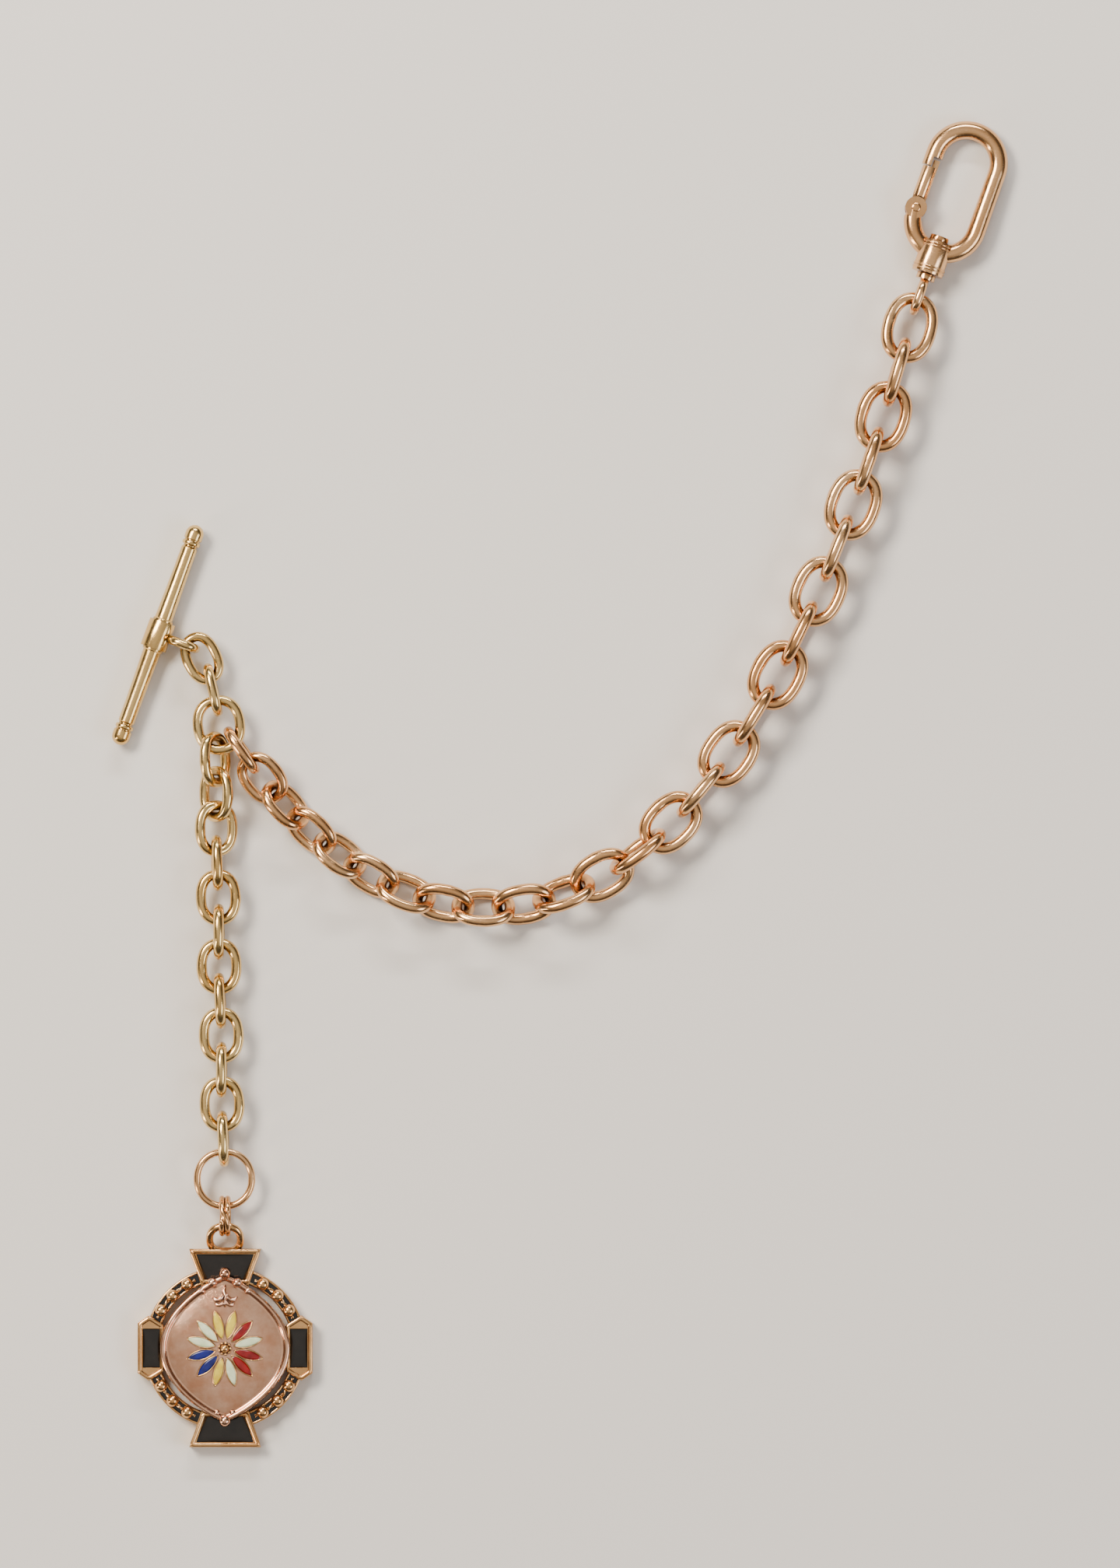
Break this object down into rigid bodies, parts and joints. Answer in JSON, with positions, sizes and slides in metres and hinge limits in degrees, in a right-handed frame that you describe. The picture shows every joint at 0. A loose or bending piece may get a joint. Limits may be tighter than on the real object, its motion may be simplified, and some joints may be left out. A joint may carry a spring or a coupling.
{
  "type": "pocket watch chain",
  "caption": "Gold pocket watch chain of graded oval links with a T-bar, a sprung swivel clasp and a drop chain holding an enamelled fob, laid flat.",
  "frame": {"origin": "centre of the fob's flat back, on the table that the chain lies on", "axes": "+Z out of the table, +Y along the drop chain from the fob towards the T-bar, +X towards the swivel clasp"},
  "size_m": [0.1076, 0.1593, 0.0066],
  "materials": {
    "pale_gold": "polished pale yellow gold, lightly worn",
    "rose_gold": "polished rose-tinted gold, lightly worn",
    "fob_gold": "polished gold with fine scratches",
    "shield_gold": "polished pinkish gold, domed",
    "spring_steel": "plain spring steel",
    "black_enamel": "glossy fired enamel",
    "red_enamel": "glossy fired enamel",
    "yellow_enamel": "glossy fired enamel",
    "blue_enamel": "glossy fired enamel",
    "pale_enamel": "glossy fired enamel"
  },
  "bodies": {
    "junction": {"junction_link": "pale_gold"},
    "t_bar_link_1": {"t_bar_link_1": "pale_gold"},
    "t_bar_link_2": {"t_bar_link_2": "pale_gold"},
    "t_bar": {"t_bar": "pale_gold", "t_bar_eye": "pale_gold"},
    "clasp_eye": {"clasp_eye": "rose_gold"},
    "clasp_hook": {"clasp_hook": "rose_gold", "clasp_gate_pin": "rose_gold", "clasp_gate_spring": "spring_steel"},
    "clasp_gate": {"clasp_gate": "rose_gold"},
    "large_ring": {"large_jump_ring": "rose_gold"},
    "small_ring": {"small_double_ring": "rose_gold"},
    "fob": {"fob_bail": "fob_gold", "fob_frame": "fob_gold", "fob_arm_enamel": "black_enamel", "fob_bead_strips": "fob_gold", "fob_shield": "shield_gold", "petals_red": "red_enamel", "petals_yellow": "yellow_enamel", "petals_blue": "blue_enamel", "petals_pale": "pale_enamel", "rosette_stud": "fob_gold"},
    "main_01": {"main_link_01": "rose_gold"},
    "main_02": {"main_link_02": "rose_gold"},
    "main_03": {"main_link_03": "rose_gold"},
    "main_04": {"main_link_04": "rose_gold"},
    "main_05": {"main_link_05": "rose_gold"},
    "main_06": {"main_link_06": "rose_gold"},
    "main_07": {"main_link_07": "rose_gold"},
    "main_08": {"main_link_08": "rose_gold"},
    "main_09": {"main_link_09": "rose_gold"},
    "main_10": {"main_link_10": "rose_gold"},
    "main_11": {"main_link_11": "rose_gold"},
    "main_12": {"main_link_12": "rose_gold"},
    "main_13": {"main_link_13": "rose_gold"},
    "main_14": {"main_link_14": "rose_gold"},
    "main_15": {"main_link_15": "rose_gold"},
    "main_16": {"main_link_16": "rose_gold"},
    "main_17": {"main_link_17": "rose_gold"},
    "main_18": {"main_link_18": "rose_gold"},
    "main_19": {"main_link_19": "rose_gold"},
    "main_20": {"main_link_20": "rose_gold"},
    "main_21": {"main_link_21": "rose_gold"},
    "main_22": {"main_link_22": "rose_gold"},
    "main_23": {"main_link_23": "rose_gold"},
    "main_24": {"main_link_24": "rose_gold"},
    "main_25": {"main_link_25": "rose_gold"},
    "main_26": {"main_link_26": "rose_gold"},
    "drop_01": {"drop_link_01": "pale_gold"},
    "drop_02": {"drop_link_02": "pale_gold"},
    "drop_03": {"drop_link_03": "pale_gold"},
    "drop_04": {"drop_link_04": "pale_gold"},
    "drop_05": {"drop_link_05": "pale_gold"},
    "drop_06": {"drop_link_06": "pale_gold"},
    "drop_07": {"drop_link_07": "pale_gold"},
    "drop_08": {"drop_link_08": "pale_gold"},
    "drop_09": {"drop_link_09": "pale_gold"},
    "drop_10": {"drop_link_10": "pale_gold"},
    "drop_11": {"drop_link_11": "pale_gold"},
    "drop_12": {"drop_link_12": "pale_gold"}
  },
  "joints": [
    {"name": "clasp_across", "type": "hinge", "parent": "main_26", "child": "clasp_eye", "pos_m": [0.08271, 0.12458, 0.00249], "axis": [0.0203, 0.0573, 0.9982], "range_deg": [-30, 30]},
    {"name": "clasp_swivel", "type": "hinge", "parent": "clasp_eye", "child": "clasp_hook", "pos_m": [0.0843, 0.12904, 0.0022], "axis": [0.3338, 0.9407, -0.0608], "continuous": true},
    {"name": "clasp_gate", "type": "hinge", "parent": "clasp_hook", "child": "clasp_gate", "pos_m": [0.08296, 0.13693, 0.00177], "axis": [0.0203, 0.0573, 0.9982], "range_deg": [-40, 0], "stiffness_Nm_per_rad": 0.02, "springref_deg": 11.46},
    {"name": "t_bar_across_1", "type": "hinge", "parent": "junction", "child": "t_bar_link_1", "pos_m": [-0.00084, 0.07642, 0.00276], "axis": [0.0195, -0.0844, -0.9962], "range_deg": [-12, 12]},
    {"name": "t_bar_out_2", "type": "hinge", "parent": "t_bar_link_1", "child": "t_bar_link_2", "pos_m": [-0.00161, 0.08038, 0.00235], "axis": [0.9063, 0.4226, 0], "range_deg": [-5, 25]},
    {"name": "t_bar_across_3", "type": "hinge", "parent": "t_bar_link_2", "child": "t_bar", "pos_m": [-0.00359, 0.08401, 0.00246], "axis": [-0.167, 0.0608, 0.9841], "range_deg": [-20, 20]},
    {"name": "fob_out", "type": "hinge", "parent": "small_ring", "child": "fob", "pos_m": [0, 0.01467, 0.00278], "axis": [1, 0, 0], "range_deg": [-35, 15]},
    {"name": "small_ring_across", "type": "hinge", "parent": "large_ring", "child": "small_ring", "pos_m": [0, 0.01802, 0.0025], "axis": [0, 0, 1], "range_deg": [-30, 30]},
    {"name": "large_ring_out", "type": "hinge", "parent": "drop_12", "child": "large_ring", "pos_m": [-0.00013, 0.02361, 0.00272], "axis": [-0.9998, -0.0209, 0], "range_deg": [-30, 30]},
    {"name": "drop_out_01", "type": "hinge", "parent": "junction", "child": "drop_01", "pos_m": [-0.0013, 0.07346, 0.0027], "axis": [-0.573, -0.0258, 0.8192], "range_deg": [-10, 10]},
    {"name": "drop_across_02", "type": "hinge", "parent": "drop_01", "child": "drop_02", "pos_m": [-0.00109, 0.06933, 0.0027], "axis": [-0.6958, -0.0088, -0.7182], "range_deg": [-10, 10]},
    {"name": "drop_out_03", "type": "hinge", "parent": "drop_02", "child": "drop_03", "pos_m": [-0.00103, 0.06519, 0.0027], "axis": [0.9295, -0.0002, -0.3689], "range_deg": [-30, 30]},
    {"name": "drop_across_04", "type": "hinge", "parent": "drop_03", "child": "drop_04", "pos_m": [-0.00105, 0.06105, 0.0027], "axis": [-0.0531, -0.0019, -0.9986], "range_deg": [-30, 30]},
    {"name": "drop_out_05", "type": "hinge", "parent": "drop_04", "child": "drop_05", "pos_m": [-0.0009, 0.05691, 0.0027], "axis": [-0.9993, -0.0366, 0], "range_deg": [-30, 30]},
    {"name": "drop_across_06", "type": "hinge", "parent": "drop_05", "child": "drop_06", "pos_m": [-0.00072, 0.05277, 0.0027], "axis": [0, 0, 1], "range_deg": [-30, 30]},
    {"name": "drop_out_07", "type": "hinge", "parent": "drop_06", "child": "drop_07", "pos_m": [-0.00073, 0.04863, 0.0027], "axis": [0.9999, 0.0126, 0], "range_deg": [-30, 30]},
    {"name": "drop_across_08", "type": "hinge", "parent": "drop_07", "child": "drop_08", "pos_m": [-0.0007, 0.04449, 0.0027], "axis": [0, 0, 1], "range_deg": [-30, 30]},
    {"name": "drop_out_09", "type": "hinge", "parent": "drop_08", "child": "drop_09", "pos_m": [-0.0005, 0.04036, 0.0027], "axis": [-0.9998, -0.0209, 0], "range_deg": [-30, 30]},
    {"name": "drop_across_10", "type": "hinge", "parent": "drop_09", "child": "drop_10", "pos_m": [-0.0004, 0.03622, 0.0027], "axis": [0, 0, -1], "range_deg": [-30, 30]},
    {"name": "drop_out_11", "type": "hinge", "parent": "drop_10", "child": "drop_11", "pos_m": [-0.00043, 0.03208, 0.0027], "axis": [0.9996, 0.0293, 0], "range_deg": [-30, 30]},
    {"name": "drop_across_12", "type": "hinge", "parent": "drop_11", "child": "drop_12", "pos_m": [-0.00032, 0.02794, 0.0027], "axis": [0, 0, 1], "range_deg": [-30, 30]},
    {"name": "main_across_01", "type": "hinge", "parent": "junction", "child": "main_01", "pos_m": [0.00043, 0.07407, 0.0027], "axis": [-0.0471, -0.034, 0.9983], "range_deg": [-10, 10]},
    {"name": "main_out_02", "type": "hinge", "parent": "main_01", "child": "main_02", "pos_m": [0.00277, 0.07066, 0.00277], "axis": [-0.7507, -0.5402, -0.3804], "range_deg": [-10, 10]},
    {"name": "main_across_03", "type": "hinge", "parent": "main_02", "child": "main_03", "pos_m": [0.00533, 0.06735, 0.00223], "axis": [0.4914, 0.4478, -0.747], "range_deg": [-30, 30]},
    {"name": "main_out_04", "type": "hinge", "parent": "main_03", "child": "main_04", "pos_m": [0.00819, 0.06412, 0.00224], "axis": [0.4837, 0.5158, 0.7071], "range_deg": [-30, 30]},
    {"name": "main_across_05", "type": "hinge", "parent": "main_04", "child": "main_05", "pos_m": [0.01137, 0.06107, 0.0022], "axis": [-0.4286, -0.5624, 0.7071], "range_deg": [-30, 30]},
    {"name": "main_out_06", "type": "hinge", "parent": "main_05", "child": "main_06", "pos_m": [0.01492, 0.05829, 0.00223], "axis": [-0.3479, -0.6156, -0.7071], "range_deg": [-30, 30]},
    {"name": "main_across_07", "type": "hinge", "parent": "main_06", "child": "main_07", "pos_m": [0.01885, 0.05591, 0.00226], "axis": [0.2618, 0.6569, -0.7071], "range_deg": [-30, 30]},
    {"name": "main_out_08", "type": "hinge", "parent": "main_07", "child": "main_08", "pos_m": [0.02317, 0.05408, 0.00229], "axis": [-0.1382, -0.6935, -0.7071], "range_deg": [-30, 30]},
    {"name": "main_across_09", "type": "hinge", "parent": "main_08", "child": "main_09", "pos_m": [0.02782, 0.05298, 0.00232], "axis": [-0.0116, -0.707, 0.7071], "range_deg": [-30, 30]},
    {"name": "main_out_10", "type": "hinge", "parent": "main_09", "child": "main_10", "pos_m": [0.03269, 0.05276, 0.00227], "axis": [-0.1773, 0.7273, 0.663], "range_deg": [-30, 30]},
    {"name": "main_across_11", "type": "hinge", "parent": "main_10", "child": "main_11", "pos_m": [0.03758, 0.05347, 0.00269], "axis": [0.1917, -0.515, 0.8355], "range_deg": [-30, 30]},
    {"name": "main_out_12", "type": "hinge", "parent": "main_11", "child": "main_12", "pos_m": [0.04236, 0.05511, 0.00262], "axis": [-0.4854, 0.7867, 0.3814], "range_deg": [-30, 30]},
    {"name": "main_across_13", "type": "hinge", "parent": "main_12", "child": "main_13", "pos_m": [0.04686, 0.05756, 0.0031], "axis": [-0.1239, 0.1598, -0.9793], "range_deg": [-30, 30]},
    {"name": "main_out_14", "type": "hinge", "parent": "main_13", "child": "main_14", "pos_m": [0.05104, 0.06068, 0.00308], "axis": [0.7003, -0.7115, -0.0581], "range_deg": [-30, 30]},
    {"name": "main_across_15", "type": "hinge", "parent": "main_14", "child": "main_15", "pos_m": [0.05489, 0.06435, 0.00323], "axis": [0, 0, -1], "range_deg": [-30, 30]},
    {"name": "main_out_16", "type": "hinge", "parent": "main_15", "child": "main_16", "pos_m": [0.05841, 0.06845, 0.00321], "axis": [-0.8149, 0.5796, 0], "range_deg": [-30, 30]},
    {"name": "main_across_17", "type": "hinge", "parent": "main_16", "child": "main_17", "pos_m": [0.06165, 0.0729, 0.0033], "axis": [0, 0, 1], "range_deg": [-30, 30]},
    {"name": "main_out_18", "type": "hinge", "parent": "main_17", "child": "main_18", "pos_m": [0.06462, 0.07764, 0.0033], "axis": [0.8789, -0.4769, 0], "range_deg": [-30, 30]},
    {"name": "main_across_19", "type": "hinge", "parent": "main_18", "child": "main_19", "pos_m": [0.06732, 0.08253, 0.0033], "axis": [0, 0, -1], "range_deg": [-30, 30]},
    {"name": "main_out_20", "type": "hinge", "parent": "main_19", "child": "main_20", "pos_m": [0.06979, 0.08755, 0.0033], "axis": [-0.9159, 0.4015, 0], "range_deg": [-30, 30]},
    {"name": "main_across_21", "type": "hinge", "parent": "main_20", "child": "main_21", "pos_m": [0.07205, 0.09266, 0.0033], "axis": [0, 0, 1], "range_deg": [-30, 30]},
    {"name": "main_out_22", "type": "hinge", "parent": "main_21", "child": "main_22", "pos_m": [0.07415, 0.09784, 0.0033], "axis": [0.9386, -0.3451, 0], "range_deg": [-30, 30]},
    {"name": "main_across_23", "type": "hinge", "parent": "main_22", "child": "main_23", "pos_m": [0.0761, 0.10308, 0.0033], "axis": [0, 0, -1], "range_deg": [-30, 30]},
    {"name": "main_out_24", "type": "hinge", "parent": "main_23", "child": "main_24", "pos_m": [0.07792, 0.10837, 0.0033], "axis": [-0.9534, 0.3019, 0], "range_deg": [-30, 30]},
    {"name": "main_across_25", "type": "hinge", "parent": "main_24", "child": "main_25", "pos_m": [0.07962, 0.11369, 0.0033], "axis": [0, 0, 1], "range_deg": [-30, 30]},
    {"name": "main_out_26", "type": "hinge", "parent": "main_25", "child": "main_26", "pos_m": [0.08122, 0.11906, 0.00343], "axis": [-0.9635, 0.2679, 0], "range_deg": [-15, 15]}
  ]
}
